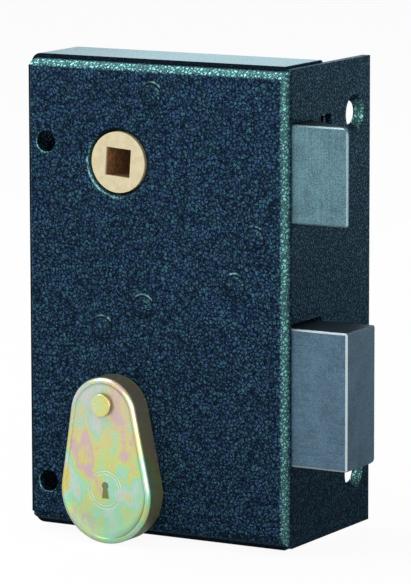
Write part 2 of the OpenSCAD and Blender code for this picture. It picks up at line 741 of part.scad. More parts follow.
// Plug with its keyway, pin holes and a tail that carries the gear and takes the outside cylinder's blade
module cylinder_plug() {
    color(brass) difference() {
        union() {
            rod_y(plug_r, y_face, cyl_y1 - seat, 0, -key_drop);
            translate([0, 0, -key_drop]) slab_y(cyl_y1 - eps, plug_end) tail_section(shaft_r);
        }
        translate([0, 0, -key_drop]) {
            slab_y(y_face - eps, cyl_y1 - 2.5) {
                box2([-keyway_w / 2, -plug_r - eps], [keyway_w / 2, 3.4]);
                box2([-keyway_w / 2 - 0.6, -1.4], [keyway_w / 2, -0.4]);
            }
            for (i = [0:pin_n - 1]) pin_place(i) translate([0, 0, -plug_r - eps])
                cylinder(r = pin_r + seat, h = plug_r + eps);
            slab_y(wheel_y1 - 1, plug_end + eps) box2([-1, -shaft_r - eps], [1, shaft_r + eps]);
            turn_y() box2([shaft_r - 0.4, wheel_y1 + 0.1], [shaft_r + eps, wheel_y1 + 0.75]);
        }
    }
}

// Round section with two flats, which turns the gear
module tail_section(r) {
    intersection() {
        circle(r);
        box2([-r, -r * 0.78], [r, r * 0.78]);
    }
}

module plug_gear() {
    color(brass) translate([0, 0, -key_drop]) slab_y(wheel_y0, wheel_y1) difference() {
        rotate(gear_angle) gear(plug_z);
        tail_section(shaft_r + seat);
    }
}

module plug_clip() {
    color(dark) translate([0, 0, -key_drop]) difference() {
        rod_y(shaft_r + 1.2, wheel_y1 + 0.15, wheel_y1 + 0.7);
        rod_y(shaft_r - 0.35, wheel_y1 - eps, wheel_y1 + 2);
        slab_y(wheel_y1 - eps, wheel_y1 + 2) box2([-1.6, -shaft_r - 3], [1.6, 0]);
    }
}

// Pins inside the plug, held at the shear line as a key would hold them
module key_pins() {
    shear = sqrt(plug_r * plug_r - pin_r * pin_r) - 0.1;
    color(brass) for (i = [0:pin_n - 1]) pin_place(i) translate([0, 0, -key_drop - shear]) {
        cylinder(r = pin_r, h = key_pin_len[i] - 0.8);
        translate([0, 0, key_pin_len[i] - 0.8]) cylinder(r1 = pin_r, r2 = 0.4, h = 0.8);
    }
}

module driver_pins() {
    color(steel) for (i = [0:pin_n - 1]) pin_place(i)
        translate([0, 0, -key_drop - plug_hole - 0.05 - driver_len]) cylinder(r = pin_r, h = driver_len);
}

module pin_springs() {
    z1 = -key_drop - plug_hole - 0.05 - driver_len - seat;
    z0 = chamber_z + 0.6 + cap_len + seat;
    color(steel) for (i = [0:pin_n - 1]) pin_place(i) translate([0, 0, z0])
        coil(pin_r - spring_wire / 2 - 0.1, spring_wire / 2, z1 - z0, 5, 5, 12);
}

// Plugs that close the pin chambers
module chamber_plugs() {
    color(brass) for (i = [0:pin_n - 1]) pin_place(i)
        translate([0, 0, chamber_z + 0.6]) cylinder(r = pin_r + seat / 2, h = cap_len);
}

// The swinging cover's outline shrunk by a wall, hanging from the centre of its upper end.
// Its straight sides lie a hair inside the tangents of the two arcs.
module drop_outline(wall) {
    r1 = swing_r_top - wall;
    r2 = swing_r_low - wall;
    s = (r2 - r1) / swing_len;
    c = sqrt(1 - s * s);
    q1 = r1 - hair;
    q2 = r2 - hair;
    circle(r1);
    translate([0, -swing_len]) circle(r2);
    polygon([[q1 * c, q1 * s], [-q1 * c, q1 * s],
             [-q2 * c, -swing_len + q2 * s], [q2 * c, -swing_len + q2 * s]]);
}

// The drawn shell's outer form, whose front edge is rounded all round
module drop_form() {
    hull() for (e = [[0, swing_r_top], [-swing_len, swing_r_low]])
        turn_y(0, e[0], $fn = 64) soft_box([0, swing_y0], [e[1], swing_y1], [0, swing_edge, 0, 0]);
}

// Places what hangs with the swinging cover, from its upper centre
module swing_frame() {
    translate([swing_pos[0], 0, swing_pos[1]]) rotate([0, -swing_tilt, 0]) translate([0, 0, -swing_pin_up]) children();
}

module swing_cover() {
    color(zinc) swing_frame() difference() {
        drop_form();
        slab_y(swing_y0 + swing_t, swing_y1 + eps) drop_outline(swing_t);
        rod_y(swing_pin_r + run, swing_y0 - eps, swing_y1, 0, swing_pin_up);
        turn_y(0, swing_pin_up) box2([4.2, swing_y0 - eps], [4.5, swing_y0 + 0.15]);
    }
}

// Shouldered rivet that the cover swings on
module swing_rivet() {
    x = swing_pos[0];
    z = swing_pos[1];
    y_head = swing_y0 - 0.15;
    color(zinc) {
        turn_y(x, z) soft_box([0, y_head - 0.95], [swing_head_r, y_head], [0, 0.25, 0, 0]);
        rod_y(swing_pin_r, y_head - 0.1, swing_y0 + swing_t + 0.1, x, z);
        rod_y(swing_pin_r + 1.4, swing_y0 + swing_t + 0.1, y_face - seat, x, z);
        rod_y(swing_pin_r, y_face - 2 * seat, y_in + 0.9, x, z);
        rod_y(swing_pin_r + 1.2, y_in + 0.85, y_in + 1.6, x, z, swing_pin_r + 0.6);
    }
}

module swing_washer() {
    color(steel) difference() {
        rod_y(swing_pin_r + 2.2, y_in + seat, y_in + 0.8, swing_pos[0], swing_pos[1]);
        rod_y(swing_pin_r + run, y_in - eps, y_in + 2, swing_pos[0], swing_pos[1]);
    }
}

front_shell();
rear_cover();
cover_screws();
riveted_posts();
handle_hub();
latch_bolt();
latch_tail();
latch_rivets();
latch_spring();
spring_pin();
dead_bolt();
bolt_tail();
bolt_rivets();
reduction_gear();
gear_stud();
gear_clip();
cylinder_body();
cylinder_screws();
cylinder_plug();
key_pins();
driver_pins();
pin_springs();
chamber_plugs();
plug_gear();
plug_clip();
swing_cover();
swing_rivet();
swing_washer();
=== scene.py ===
"""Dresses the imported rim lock: finishes for every part of the lock, a drawn cover with its
engraved sign, and a pale studio. It is laid out as an add-on and run as a script."""

import math

import bmesh
import bpy
from bpy.props import FloatProperty, FloatVectorProperty, IntProperty, PointerProperty
from mathutils import Matrix, Vector


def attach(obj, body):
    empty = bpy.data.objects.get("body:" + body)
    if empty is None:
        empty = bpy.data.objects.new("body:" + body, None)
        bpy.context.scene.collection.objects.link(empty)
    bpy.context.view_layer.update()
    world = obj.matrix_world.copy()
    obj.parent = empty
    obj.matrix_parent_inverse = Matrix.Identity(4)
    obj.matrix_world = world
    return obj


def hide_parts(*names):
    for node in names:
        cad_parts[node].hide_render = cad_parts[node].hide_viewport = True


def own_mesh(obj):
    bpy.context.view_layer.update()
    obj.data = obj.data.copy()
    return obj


bl_info = {
    "name": "Rim lock dresser",
    "version": (1, 0, 0),
    "blender": (4, 5, 0),
    "location": "View3D > Sidebar > Rim lock",
    "description": "Finishes and studio for a rim lock with a latch, a dead bolt and a swinging cover",
    "category": "Object",
}

MM = 0.001
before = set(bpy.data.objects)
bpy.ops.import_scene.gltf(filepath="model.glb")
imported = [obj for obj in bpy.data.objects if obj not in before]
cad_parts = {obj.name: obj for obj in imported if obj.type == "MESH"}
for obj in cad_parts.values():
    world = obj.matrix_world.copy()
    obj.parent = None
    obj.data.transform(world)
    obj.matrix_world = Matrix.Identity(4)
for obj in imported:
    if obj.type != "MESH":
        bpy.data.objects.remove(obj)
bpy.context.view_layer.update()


def tint(red, green, blue):
    """The linear colour of a swatch whose three channels are given from 0 to 255."""
    return tuple(
        c / 12.92 if c <= 0.04045 else ((c + 0.055) / 1.055) ** 2.4
        for c in (red / 255, green / 255, blue / 255)
    )


def colour(name, description, swatch):
    """A colour that the user can change."""
    return FloatVectorProperty(
        name=name, description=description, subtype="COLOR", size=3, min=0, max=1, default=tint(*swatch)
    )


def length(name, description, mm):
    """A length that the user can change, given in millimetres."""
    return FloatProperty(name=name, description=description, unit="LENGTH", default=mm * MM, min=0)


class LockColours(bpy.types.PropertyGroup):
    """Colours of the lock's finishes"""

    # Colour of the hollows between the blisters, and also the painted shade on faces that look right
    enamel_hollows_and_side_shade: colour("Enamel, hollows", "Enamel in the hollows between its blisters", (1, 13, 34))
    enamel_blue: colour("Enamel, blue", "Enamel on the bluer blisters", (54, 84, 122))
    enamel_teal: colour("Enamel, teal", "Enamel on the greener blisters", (60, 104, 124))
    # Painted highlight: a lighter colour on the bends and countersinks that face forward and right or up
    enamel_bend_highlight: colour("Enamel, bends", "Thin enamel along the bends of the case", (112, 172, 164))
    # Painted shade in the gaps round the hub and the riveted ends, and on the rear cover's front edges
    gap_shade: colour("Dirt", "Dirt in the gaps round the hub and the riveted ends", (5, 12, 24))
    latch_steel: colour("Latch bolt", "Satin plating of the latch bolt", (104, 142, 154))
    bolt_steel: colour("Dead bolt", "Drawn steel of the dead bolt", (86, 116, 136))
    bare_steel: colour("Bare steel", "Plain steel of the pieces inside", (150, 152, 154))
    spring_steel: colour("Spring steel", "Dark wire and snap rings", (92, 94, 98))
    hub_brass: colour("Hub", "Cast metal of the handle hub", (232, 222, 186))
    # Darker brown for the inside of the hub's square hole
    hub_hole_brown: colour("Hub's square", "Old grease inside the square hole", (112, 72, 38))
    brass: colour("Brass", "Machined brass of the cylinder and the gears", (206, 172, 98))
    zinc_yellow: colour("Zinc, yellow", "Main colour of the passivated cover", (240, 230, 140))
    zinc_lime: colour("Zinc, lime", "Between the yellow and the green of the sheen", (212, 242, 162))
    zinc_green: colour("Zinc, green", "Green of the cover's rainbow sheen", (174, 244, 206))
    zinc_pink: colour("Zinc, pink", "Pink of the cover's rainbow sheen", (230, 194, 212))
    zinc_pale: colour("Zinc, pale", "Where the cover's plating is thin", (212, 242, 236))


class LockSizes(bpy.types.PropertyGroup):
    """Sizes of the details that are added to the lock"""

    blister: length("Blister", "Distance between the enamel's blisters", 1.15)
    blister_rise: length("Blister height", "How far a blister stands out", 0.08)
    cover_edge: length("Cover's edge", "Radius of the drawn edge of the swinging cover", 1.3)
    cover_wall: length("Cover's sheet", "Thickness of the swinging cover's sheet", 1.1)
    cover_step: length("Cover's rim", "How far the cover's rim stands above its face", 0.5)
    sign_radius: length("Sign", "Radius of the engraved sign on the cover", 5.6)
    sign_depth: length("Sign's depth", "Depth of the engraved lines", 0.12)
    cover_steps: IntProperty(
        name="Cover's steps", description="Points around the swinging cover", default=160, min=48, max=400
    )


class LockStage(bpy.types.PropertyGroup):
    """Camera and lamps"""

    turn: FloatProperty(
        name="Turn", description="How far the camera stands to the right of the face", subtype="ANGLE",
        default=math.radians(29.80),
    )
    tilt: FloatProperty(
        name="Tilt", description="How far the camera looks down", subtype="ANGLE", default=math.radians(9.01)
    )
    roll: FloatProperty(
        name="Roll", description="Roll of the camera", subtype="ANGLE", default=math.radians(-0.13)
    )
    place: FloatVectorProperty(
        name="Camera", description="Where the camera stands", subtype="TRANSLATION", unit="LENGTH", size=3,
        default=(0.6197, -1.0574, 0.1528),
    )
    lens: FloatProperty(
        name="Lens", description="Focal length on a frame 36 mm high", default=258.9, min=20, unit="CAMERA"
    )
    world: FloatProperty(
        name="World", description="Strength of the light from all round", default=0.42, min=0
    )
    key: FloatProperty(name="Key lamp", description="Lamp at the upper left", default=7, min=0, unit="POWER")
    front: FloatProperty(name="Front lamp", description="Wide lamp at the front right", default=13, min=0, unit="POWER")
    over: FloatProperty(name="Top lamp", description="Lamp overhead", default=6, min=0, unit="POWER")


class Value:
    """What a node gives, with the operators that the finishes' expressions use"""

    def __init__(self, finish, socket):
        self.finish = finish
        self.socket = socket

    def math(self, operation, *values, **settings):
        return self.finish.node("ShaderNodeMath", dict(settings, operation=operation), *values)

    def __add__(self, other):
        return self.math("ADD", self, other)

    __radd__ = __add__

    def __sub__(self, other):
        return self.math("SUBTRACT", self, other)

    def __rsub__(self, other):
        return self.math("SUBTRACT", other, self)

    def __mul__(self, other):
        return self.math("MULTIPLY", self, other)

    __rmul__ = __mul__

    def __truediv__(self, other):
        return self.math("DIVIDE", self, other)

    def __rtruediv__(self, other):
        return self.math("DIVIDE", other, self)

    def __pow__(self, other):
        return self.math("POWER", self, other)

    def __abs__(self):
        return self.math("ABSOLUTE", self)

    def __neg__(self):
        return self.math("MULTIPLY", self, -1.0)

    def lower(self, other):
        return self.math("MINIMUM", self, other)

    def higher(self, other):
        return self.math("MAXIMUM", self, other)

    def root(self):
        return self.math("SQRT", self)

    def sine(self):
        return self.math("SINE", self)

    def step(self, start, end):
        """0 up to start and 1 from end on, and smooth between, whichever is the larger."""
        return self.finish.node(
            "ShaderNodeMapRange", {"interpolation_type": "SMOOTHSTEP", "clamp": True}, self,
            From_Min=start, From_Max=end, To_Min=0.0, To_Max=1.0,
        )


class Finish:
    """A material in the making: every node of it comes from node()"""

    def __init__(self, name):
        self.material = bpy.data.materials.new(name)
        self.material.use_nodes = True
        self.tree = self.material.node_tree
        self.tree.nodes.clear()
        place = self.node("ShaderNodeTexCoord", {}, out="Object")
        self.at = self.node("ShaderNodeVectorMath", {"operation": "SCALE"}, place, Scale=1000.0)

    def node(self, kind, settings, *values, out=None, **named):
        """Adds a node, sets its settings, feeds its sockets and gives its first output, or the one named."""
        made = self.tree.nodes.new(kind)
        stops = settings.pop("stops", None)
        for key, value in settings.items():
            setattr(made, key, value)
        if stops:
            ramp = made.color_ramp
            while len(ramp.elements) < len(stops):
                ramp.elements.new(0.5)
            for element, (position, shade) in zip(ramp.elements, stops):
                element.position = position
                element.color = (*shade, 1.0)
        pairs = list(zip(made.inputs, values))
        pairs += [(self.socket(made.inputs, key), value) for key, value in named.items()]
        for socket, value in pairs:
            if isinstance(value, Value):
                self.tree.links.new(value.socket, socket)
            elif socket.type == "RGBA" and len(value) == 3:
                socket.default_value = (*value, 1.0)
            else:
                socket.default_value = value
        shown = [socket for socket in made.outputs if socket.enabled]
        if not shown:
            return None
        return Value(self, shown[0] if out is None else self.socket(made.outputs, out))

    @staticmethod
    def socket(sockets, key):
        """The enabled socket of that name, with blanks written as underscores."""
        for socket in sockets:
            if socket.enabled and socket.name == key.replace("_", " "):
                return socket
        raise RuntimeError(f"no socket {key}")

    def axes(self, vector=None):
        """X, Y and Z of a place, in millimetres."""
        vector = vector or self.at
        return [self.node("ShaderNodeSeparateXYZ", {}, vector, out=axis) for axis in "XYZ"]

    def stretched(self, x, y, z, turn=(0, 0, 0), vector=None):
        """Places stretched by factors along the axes, after a turn."""
        return self.node(
            "ShaderNodeMapping", {"vector_type": "POINT"}, vector or self.at,
            Rotation=tuple(math.radians(t) for t in turn), Scale=(x, y, z),
        )

    def noise(self, size, detail=2.0, roughness=0.5, vector=None, out=None, distortion=0.0):
        """Cloudy variation from 0 to 1, whose blotches are about as large as size, in millimetres."""
        return self.node(
            "ShaderNodeTexNoise", {"noise_dimensions": "3D"}, out=out, Vector=vector or self.at,
            Scale=1.0 / size, Detail=detail, Roughness=roughness, Distortion=distortion,
        )

    def cells(self, size, feature="F1", vector=None, out=None, smooth=None):
        """Cells about as large as size, in millimetres."""
        more = {} if smooth is None else {"Smoothness": smooth}
        return self.node(
            "ShaderNodeTexVoronoi", {"voronoi_dimensions": "3D", "feature": feature}, out=out,
            Vector=vector or self.at, Scale=1.0 / size, Randomness=1.0, **more,
        )

    def shaken(self, size, by):
        """Places moved about by up to a distance, to break up straight cell walls."""
        drift = self.node(
            "ShaderNodeVectorMath", {"operation": "SUBTRACT"},
            self.noise(size, 1.0, out="Color"), (0.5, 0.5, 0.5),
        )
        return self.node(
            "ShaderNodeVectorMath", {"operation": "MULTIPLY_ADD"}, drift, (by, by, by), self.at
        )

    def blend(self, share, first, second, kind="MIX"):
        """Two colours mixed by a share."""
        return self.node(
            "ShaderNodeMix", {"data_type": "RGBA", "blend_type": kind, "clamp_factor": True},
            out="Result", Factor=share, A=first, B=second,
        )

    def ramp(self, value, *stops):
        """A colour for each value."""
        return self.node("ShaderNodeValToRGB", {"stops": stops}, value)

    def relief(self, height, strength=1.0):
        """Normal of a relief whose height is in millimetres."""
        return self.node("ShaderNodeBump", {}, Strength=strength, Distance=MM, Height=height)

    def surface(self, **sockets):
        """The finished shader."""
        shader = self.node("ShaderNodeBsdfPrincipled", {}, **sockets)
        self.node("ShaderNodeOutputMaterial", {}, shader)
        return self.material


def blistered(finish, lock, sizes):
    """Relief, colour and roughness of hammered enamel."""
    grain = sizes.blister / MM
    place = finish.shaken(grain * 0.9, grain * 1.3)
    dome = finish.cells(grain, "DISTANCE_TO_EDGE", place, out="Distance").step(0.03, 0.3)
    lot, luck, _ = finish.axes(finish.cells(grain, "F1", place, out="Color"))
    blister = finish.blend(lot.step(0.25, 0.8), lock.enamel_blue, lock.enamel_teal)
    lit = dome * (luck * 0.8 + 0.42 + (finish.noise(9.0, 3.0, 0.55) - 0.5) * 0.5)
    shade = finish.blend(lit, lock.enamel_hollows_and_side_shade, blister)
    height = dome * (luck * 0.7 + 0.65) * (sizes.blister_rise / MM) + finish.noise(4.5) * 0.05
    return shade, height, 0.30 + 0.18 * (1.0 - dome), dome


def enamel(name, lock, sizes, rings=(), relief=1.0, shaded_edges_and_sheen=False):
    """Hammered enamel over steel. rings holds the X, Z, inner and outer radius of gaps, each with
    painted shade in it, and the direction in X and Z of a painted highlight just outside each one; relief is the
    share of the blisters' height; shaded edges and sheen paints shade on faces that look straight forward and a sheen
    on those that look up."""
    finish = Finish(name)
    shade, height, rough, dome = blistered(finish, lock, sizes)
    x, y, z = finish.axes()
    normal = finish.axes(finish.node("ShaderNodeNewGeometry", {}, out="Normal"))
    right, forward, up = normal[0].higher(0.0), -normal[1], normal[2].higher(0.0)
    # Painted highlight on the bends, countersinks and rolled hole mouths that face forward and to the right or up
    bend_highlight_share = (forward * (right + up) * 2.0).step(0.35, 1.0)
    shade = finish.blend(bend_highlight_share * (0.15 + 0.75 * dome), shade, lock.enamel_bend_highlight)
    # Painted shade: faces that look right, such as the forend, are darkened
    shade = finish.blend(right.step(0.95, 0.99) * 0.35, shade, lock.enamel_hollows_and_side_shade)
    highlight_breakup = finish.noise(3.2, 3.0, 0.6).step(0.36, 0.58)
    for place_x, place_z, inner, outer, highlight_x, highlight_z in rings:
        off_x, off_z = x - place_x, z - place_z
        radius = (off_x * off_x + off_z * off_z).root()
        band = radius.step(inner - 0.15, inner) * (1.0 - radius.step(outer, outer + 0.3))
        # Painted shade in each gap ring
        shade = finish.blend(band * 0.9, shade, lock.gap_shade)
        lip_highlight = radius.step(outer + 0.2, outer + 0.4) * (1.0 - radius.step(outer + 0.6, outer + 0.9))
        lip_highlight = lip_highlight * (off_x * highlight_x + off_z * highlight_z - radius * 0.6).step(0.0, 0.8)
        # Painted highlight just outside each gap, on the side its direction points to, broken up by noise
        shade = finish.blend(lip_highlight * highlight_breakup * (0.5 + 0.5 * dome), shade, (0.26, 0.56, 0.56))
    if shaded_edges_and_sheen:
        # Painted shade on the rear cover's faces that look straight forward, in the gap behind the shell
        shade = finish.blend(forward.step(0.7, 0.9) * 0.9, shade, lock.gap_shade)
        # Painted sheen on the rear cover's top; pale is its share, fainter towards the left end
        pale = (x + 30.0).step(0.0, 45.0) * 0.4 + 0.35
        shade = finish.blend(up.step(0.8, 0.95) * pale, shade, (0.42, 0.56, 0.58))
    return finish.surface(
        Base_Color=shade, Metallic=0.75, Roughness=rough * (0.4 + 0.6 * relief),
        Specular_Tint=(0.6, 0.9, 1.0, 1.0), IOR=1.45, Normal=finish.relief(height * relief),
    )


def brushed(name, shade, along, rough=0.36, metallic=0.9, dark=0.55, marks=1.0, edge_highlight=0.0, top_shade=0.0):
    """Steel with fine lines along one axis, faint blotches and small pits. The edge highlight share
    is a painted highlight on the chamfers at the front, and the top shade share a painted shade on what looks up."""
    finish = Finish(name)
    stretch = [0.06 if axis == along else 4.0 for axis in "XYZ"]
    lines = finish.noise(1.0, 3.0, 0.65, finish.stretched(*stretch))
    fine = finish.noise(0.35, 2.0, 0.6)
    cloud = finish.noise(6.0, 4.0, 0.6)
    pits = 1.0 - finish.cells(2.1, "F1", out="Distance").step(0.02, 0.16)
    tone = (lines - 0.5) * 0.7 * marks + (fine - 0.5) * 1.5 * marks + (cloud - 0.5) * 0.9
    low = tuple(c * dark for c in shade)
    high = tuple(min(1.0, c * 1.25) for c in shade)
    body = finish.blend((tone + 0.5).step(0.0, 1.0), low, high)
    body = finish.blend(pits * 0.5, body, low)
    if edge_highlight or top_shade:
        across, inward, up = finish.axes(finish.node("ShaderNodeNewGeometry", {}, out="Normal"))
        edge = ((abs(across) + abs(up)) * -inward * 2.0).step(0.6, 0.95)
        # Painted highlight on the front chamfers
        body = finish.blend(edge * edge_highlight, body, (0.72, 0.82, 0.82))
        # Painted shade on the faces that look up
        body = finish.blend(up.step(0.75, 0.95) * top_shade, body, tuple(c * 0.12 for c in shade))
    height = lines * 0.012 * marks + fine * 0.008 - pits * 0.02
    return finish.surface(
        Base_Color=body, Metallic=metallic, Roughness=rough + (cloud - 0.5) * 0.18 + (lines - 0.5) * 0.1,
        Normal=finish.relief(height),
    )


def turned(name, shade, x, z, rough=0.33, metallic=0.85):
    """Metal with fine rings about an axis along Y, as a lathe leaves them."""
    finish = Finish(name)
    place = finish.axes()
    across = place[0] - x
    up = place[2] - z
    radius = (across * across + up * up).root()
    rings = finish.node(
        "ShaderNodeTexNoise", {"noise_dimensions": "2D"},
        Vector=finish.node("ShaderNodeCombineXYZ", {}, radius * 3.2, place[1] * 3.2, 0.0),
        Scale=1.0, Detail=3.0, Roughness=0.6,
    )
    cloud = finish.noise(3.0, 4.0, 0.6)
    tone = ((rings - 0.5) * 0.6 + (cloud - 0.5) * 0.7 + 0.5).step(0.0, 1.0)
    low = tuple(c * 0.62 for c in shade)
    high = tuple(min(1.0, c * 1.15) for c in shade)
    return finish.surface(
        Base_Color=finish.blend(tone, low, high), Metallic=metallic, Roughness=rough + (cloud - 0.5) * 0.2,
        Normal=finish.relief(rings * 0.015 + cloud * 0.01),
    )


def cast_hub(colours):
    """Cast hub with a faced front, and a darker brown that comes in deeper inside its square hole."""
    finish = Finish("cast_hub")
    x, y, z = finish.axes(finish.stretched(1, 1, 1, (0, -4, 0)))
    inside = 1.0 - abs(x).higher(abs(z)).step(4.12, 4.2)
    deep = inside * (y + 26.0).step(0.05, 1.2)
    cloud = finish.noise(2.2, 4.0, 0.6)
    fine = finish.noise(0.4, 3.0, 0.6)
    radius = (x * x + z * z).root()
    rings = finish.noise(0.5, 2.0, 0.5, finish.node("ShaderNodeCombineXYZ", {}, radius, 0.0, 0.0))
    shade = finish.blend(
        ((cloud - 0.5) * 0.8 + (fine - 0.5) * 0.7 + 0.62).step(0.0, 1.0),
        tuple(c * s for c, s in zip(colours.hub_brass, (0.72, 0.62, 0.5))), colours.hub_brass,
    )
    # Darker brown deeper inside the square hole
    hole_colour = finish.blend(
        (finish.noise(1.1, 4.0, 0.7) * 1.3 - 0.15).step(0.2, 0.9),
        tuple(c * 0.35 for c in colours.hub_hole_brown), tuple(min(1, c * 2.4) for c in colours.hub_hole_brown),
    )
    return finish.surface(
        Base_Color=finish.blend(deep, shade, hole_colour), Metallic=0.55 - 0.5 * deep,
        Roughness=0.42 + 0.4 * deep + (cloud - 0.5) * 0.15,
        Normal=finish.relief(cloud * 0.03 + fine * 0.02 + rings * 0.006),
    )


def passivated(name, colours, sign=None):
    """Zinc plating with a yellow passivation, whose colours run down the cover in streaks.
    sign is the place, turn, radius and depth of the engraved sign."""
    finish = Finish(name)
    streak = finish.noise(1.0, 2.0, 0.5, finish.stretched(0.3, 0.3, 0.07, (0, -24, 0)), distortion=0.4)
    thread = finish.noise(1.0, 2.0, 0.6, finish.stretched(2.6, 2.6, 0.3, (0, -6, 0)))
    patch = finish.noise(11.0, 2.0, 0.5)
    mix = 0.5 + (patch - 0.5) * 2.1 + (streak - 0.5) * 1.0 + (thread - 0.5) * 0.35
    shade = finish.ramp(
        mix, (0.0, colours.zinc_yellow), (0.2, colours.zinc_pink), (0.36, colours.zinc_yellow),
        (0.5, colours.zinc_lime), (0.64, colours.zinc_green), (0.8, colours.zinc_pale), (1.0, colours.zinc_yellow),
    )
    x, _, z = finish.axes()
    if sign:
        shade = finish.blend((z + 88.0).step(0.0, 16.0) * 0.35, shade, colours.zinc_pink)
        shade = finish.blend((-94.0 - z).step(0.0, 14.0) * 0.5, shade, colours.zinc_green)
    else:
        shade = finish.blend(0.6, shade, colours.zinc_yellow)
    grain = finish.noise(0.45, 3.0, 0.6)
    shade = finish.blend((grain - 0.42) * 1.1, shade, tuple(c * 0.6 for c in colours.zinc_yellow))
    # Painted shade: the cover's walls that don't look forward are darkened
    painted_side_shade = tuple(c * 0.14 for c in colours.zinc_yellow)
    normal = finish.axes(finish.node("ShaderNodeTexCoord", {}, out="Normal"))
    shade = finish.blend((normal[1] + 0.45).step(0.0, 0.35) * (0.55 + grain * 0.5), shade, painted_side_shade)
    height = grain * 0.012 + patch * 0.05
    if sign:
        lean = (x - sign[0][0]) * normal[0] + (z - sign[0][1] - LEN / 2) * normal[2]
        # Painted shade on the slope inside the rim, on its right side only
        shade = finish.blend((-lean).step(1.0, 4.0) * (-normal[0]).step(-0.1, 0.3) * 0.85, shade, painted_side_shade)
        line, keyhole = engraved(finish, *sign[:3])
        shade = finish.blend(line * 0.7, shade, (0.93, 0.95, 0.88))
        shade = finish.blend(keyhole * 0.75, shade, tuple(c * 0.12 for c in colours.zinc_yellow))
        height = height - line.higher(keyhole) * sign[3]
    return finish.surface(
        Base_Color=shade, Metallic=0.62, Roughness=0.30 + (patch - 0.5) * 0.12, IOR=1.6,
        Normal=finish.relief(height),
    )


def engraved(finish, place, turn, radius):
    """Shares that are 1 in the lines of two rings and in the plain keyhole inside them."""
    x, _, z = finish.axes()
    c, s = math.cos(turn), math.sin(turn)
    across = (x - place[0]) * c + (z - place[1]) * s
    up = (z - place[1]) * c - (x - place[0]) * s
    middle = (across * across + up * up).root()
    rings = abs(middle - radius).lower(abs(middle - radius * 0.84))
    head = up - radius * 0.2
    bow = (across * across + head * head).root() - radius * 0.2
    leg = (abs(across) - (radius * 0.14 - up * 0.16)).higher(abs(up + radius * 0.14) - radius * 0.34)
    return 1.0 - rings.step(0.1, 0.2), 1.0 - bow.lower(leg).step(-0.05, 0.08)


def put_on(material, *names):
    """Gives CAD nodes a finish."""
    for name in names:
        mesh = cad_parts[name].data
        for i in range(max(1, len(mesh.materials))):
            if i < len(mesh.materials):
                mesh.materials[i] = material
            else:
                mesh.materials.append(material)


def mesh_piece(name, material, body, points, faces, smooth_angle=40.0):
    """A piece from points in metres and faces, smooth except at sharp edges, that rides on a body."""
    mesh = bpy.data.meshes.new(name)
    mesh.from_pydata([tuple(p) for p in points], [], faces)
    work = bmesh.new()
    work.from_mesh(mesh)
    bmesh.ops.remove_doubles(work, verts=work.verts, dist=1e-7)
    bmesh.ops.recalc_face_normals(work, faces=work.faces)
    for face in work.faces:
        face.smooth = True
    for edge in work.edges:
        edge.smooth = len(edge.link_faces) == 2 and edge.calc_face_angle(0.0) < math.radians(smooth_angle)
    work.to_mesh(mesh)
    work.free()
    mesh.materials.append(material)
    piece = bpy.data.objects.new(name, mesh)
    bpy.context.scene.collection.objects.link(piece)
    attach(piece, body)
    return piece


# The middles of the riveted ends on the face, in X and Z
RIVETED = ((11.0, 20.0), (44.9, -19.4), (38.6, -33.5), (8.0, -41.8), (-5.9, -49.0))

# Where the swinging cover hangs, from its pivot: millimetres, with X across and Z up
PIVOT = (-1.0, -70.0)
TILT = math.radians(1.7)
PIN_UP = 3.0
LEN = 23.0
R_TOP = 11.0
R_LOW = 15.09
Y_FACE = -26.0
GAP = 0.3
HIGH = 8.0


def hung(across, down):
    """A place in X and Z from one across and below the centre of the cover's upper end."""
    down = down + PIN_UP
    return (
        PIVOT[0] + across * math.cos(TILT) + down * math.sin(TILT),
        PIVOT[1] - down * math.cos(TILT) + across * math.sin(TILT),
    )


def drop_loop(count, inset):
    """Points round the cover's outline, set in by a distance, as pairs across and down."""
    slope = math.asin((R_LOW - R_TOP) / LEN)
    top, low = R_TOP - inset, R_LOW - inset
    side = LEN * math.cos(slope)
    spans = [(math.pi - 2 * slope) * R_TOP, side, (math.pi + 2 * slope) * R_LOW, side]
    total = sum(spans)
    loop = []
    for i in range(count):
        run = (i + 0.5) / count * total
        if run < spans[0]:
            angle = slope + run / R_TOP
            loop.append((top * math.cos(angle), -top * math.sin(angle)))
            continue
        run -= spans[0]
        if run < spans[1]:
            share = run / side
            a = (-top * math.cos(slope), -top * math.sin(slope))
            b = (-low * math.cos(slope), LEN - low * math.sin(slope))
            loop.append(tuple(p + (q - p) * share for p, q in zip(a, b)))
            continue
        run -= spans[1]
        if run < spans[2]:
            angle = math.pi - slope + run / R_LOW
            loop.append((low * math.cos(angle), LEN - low * math.sin(angle)))
            continue
        share = (run - spans[2]) / side
        a = (low * math.cos(slope), LEN - low * math.sin(slope))
        b = (top * math.cos(slope), -top * math.sin(slope))
        loop.append(tuple(p + (q - p) * share for p, q in zip(a, b)))
    return loop


def hole_loop(radius, like):
    """A circle round the pivot, each point on the way to the outline's point of the same number."""
    loop = []
    for across, down in like:
        angle = math.atan2(down + PIN_UP, across)
        loop.append((radius * math.cos(angle), -PIN_UP + radius * math.sin(angle)))
    return loop


